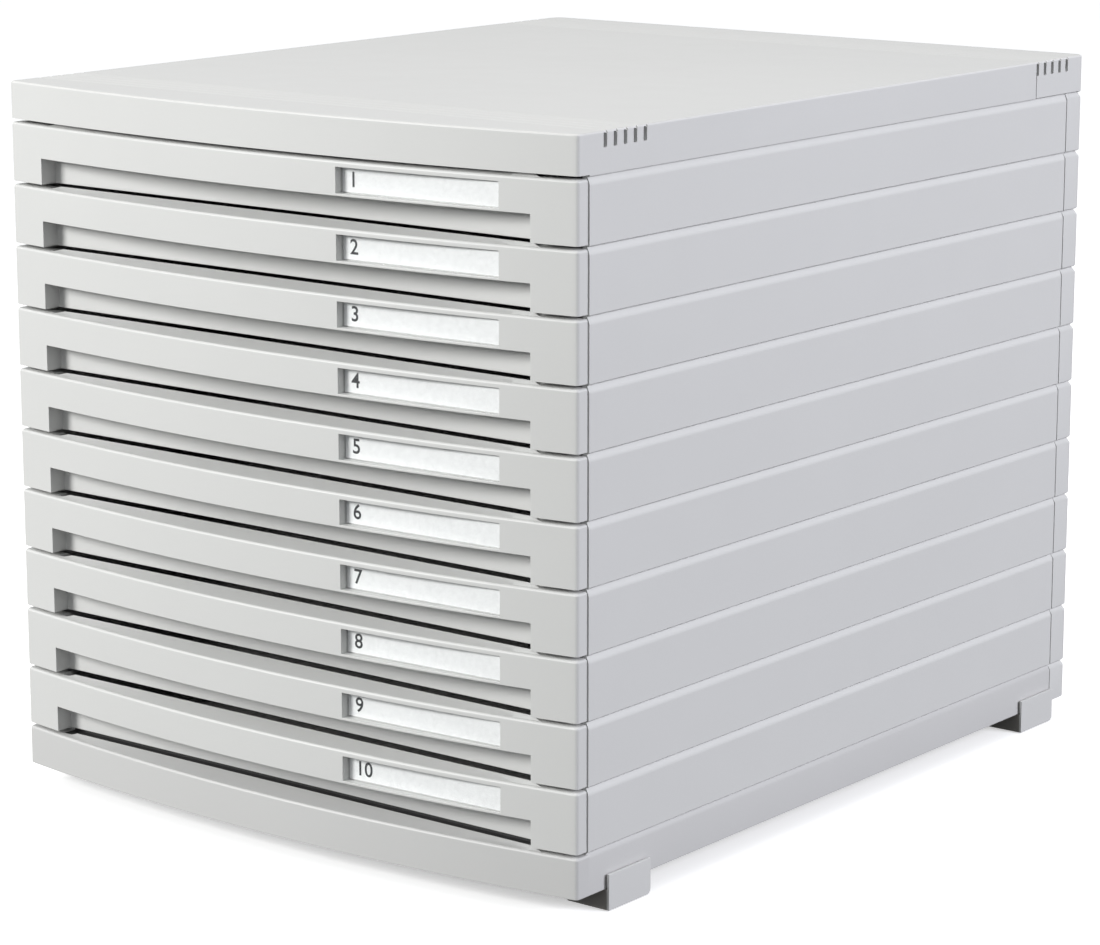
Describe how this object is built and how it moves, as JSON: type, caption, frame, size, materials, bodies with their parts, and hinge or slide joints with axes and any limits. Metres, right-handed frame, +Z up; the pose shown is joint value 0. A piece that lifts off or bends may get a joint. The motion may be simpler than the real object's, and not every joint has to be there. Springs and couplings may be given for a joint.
{
  "type": "desktop drawer box",
  "caption": "Light grey desktop box of stacked shallow drawers with bowed fronts, wide finger recesses and label holders, for sheets, forms and flat craft supplies.",
  "frame": {"origin": "on the floor at the centre of the footprint", "axes": "+X to the right seen from the front, +Y to the back, +Z up; the drawers open towards -Y"},
  "size_m": [0.2776, 0.351, 0.279],
  "materials": {
    "housing_plastic": "fine satin moulded polystyrene",
    "drawer_plastic": "fine satin moulded polystyrene",
    "foot_plastic": "fine satin moulded polystyrene",
    "window_clear": "clear glossy strip",
    "card_paper": "uncoated white card",
    "pad_rubber": "soft matt rubber"
  },
  "bodies": {
    "housing": {"top_cover": "housing_plastic", "base": "housing_plastic", "rear_panel": "housing_plastic", "side_left_01": "housing_plastic", "side_left_02": "housing_plastic", "side_left_03": "housing_plastic", "side_left_04": "housing_plastic", "side_left_05": "housing_plastic", "side_left_06": "housing_plastic", "side_left_07": "housing_plastic", "side_left_08": "housing_plastic", "side_left_09": "housing_plastic", "side_left_10": "housing_plastic", "side_right_01": "housing_plastic", "side_right_02": "housing_plastic", "side_right_03": "housing_plastic", "side_right_04": "housing_plastic", "side_right_05": "housing_plastic", "side_right_06": "housing_plastic", "side_right_07": "housing_plastic", "side_right_08": "housing_plastic", "side_right_09": "housing_plastic", "side_right_10": "housing_plastic", "foot_front_left": "foot_plastic", "foot_front_right": "foot_plastic", "foot_rear_left": "foot_plastic", "foot_rear_right": "foot_plastic", "foot_pads": "pad_rubber"},
    "drawer_01": {"drawer_01": "drawer_plastic", "label_window_01": "window_clear", "label_card_01": "card_paper"},
    "drawer_02": {"drawer_02": "drawer_plastic", "label_window_02": "window_clear", "label_card_02": "card_paper"},
    "drawer_03": {"drawer_03": "drawer_plastic", "label_window_03": "window_clear", "label_card_03": "card_paper"},
    "drawer_04": {"drawer_04": "drawer_plastic", "label_window_04": "window_clear", "label_card_04": "card_paper"},
    "drawer_05": {"drawer_05": "drawer_plastic", "label_window_05": "window_clear", "label_card_05": "card_paper"},
    "drawer_06": {"drawer_06": "drawer_plastic", "label_window_06": "window_clear", "label_card_06": "card_paper"},
    "drawer_07": {"drawer_07": "drawer_plastic", "label_window_07": "window_clear", "label_card_07": "card_paper"},
    "drawer_08": {"drawer_08": "drawer_plastic", "label_window_08": "window_clear", "label_card_08": "card_paper"},
    "drawer_09": {"drawer_09": "drawer_plastic", "label_window_09": "window_clear", "label_card_09": "card_paper"},
    "drawer_10": {"drawer_10": "drawer_plastic", "label_window_10": "window_clear", "label_card_10": "card_paper"}
  },
  "joints": [
    {"name": "drawer_01_slide", "type": "slide", "parent": "housing", "child": "drawer_01", "axis": [0, -1, 0], "range_m": [0, 0.24]},
    {"name": "drawer_02_slide", "type": "slide", "parent": "housing", "child": "drawer_02", "axis": [0, -1, 0], "range_m": [0, 0.24]},
    {"name": "drawer_03_slide", "type": "slide", "parent": "housing", "child": "drawer_03", "axis": [0, -1, 0], "range_m": [0, 0.24]},
    {"name": "drawer_04_slide", "type": "slide", "parent": "housing", "child": "drawer_04", "axis": [0, -1, 0], "range_m": [0, 0.24]},
    {"name": "drawer_05_slide", "type": "slide", "parent": "housing", "child": "drawer_05", "axis": [0, -1, 0], "range_m": [0, 0.24]},
    {"name": "drawer_06_slide", "type": "slide", "parent": "housing", "child": "drawer_06", "axis": [0, -1, 0], "range_m": [0, 0.24]},
    {"name": "drawer_07_slide", "type": "slide", "parent": "housing", "child": "drawer_07", "axis": [0, -1, 0], "range_m": [0, 0.24]},
    {"name": "drawer_08_slide", "type": "slide", "parent": "housing", "child": "drawer_08", "axis": [0, -1, 0], "range_m": [0, 0.24]},
    {"name": "drawer_09_slide", "type": "slide", "parent": "housing", "child": "drawer_09", "axis": [0, -1, 0], "range_m": [0, 0.24]},
    {"name": "drawer_10_slide", "type": "slide", "parent": "housing", "child": "drawer_10", "axis": [0, -1, 0], "range_m": [0, 0.24]}
  ]
}
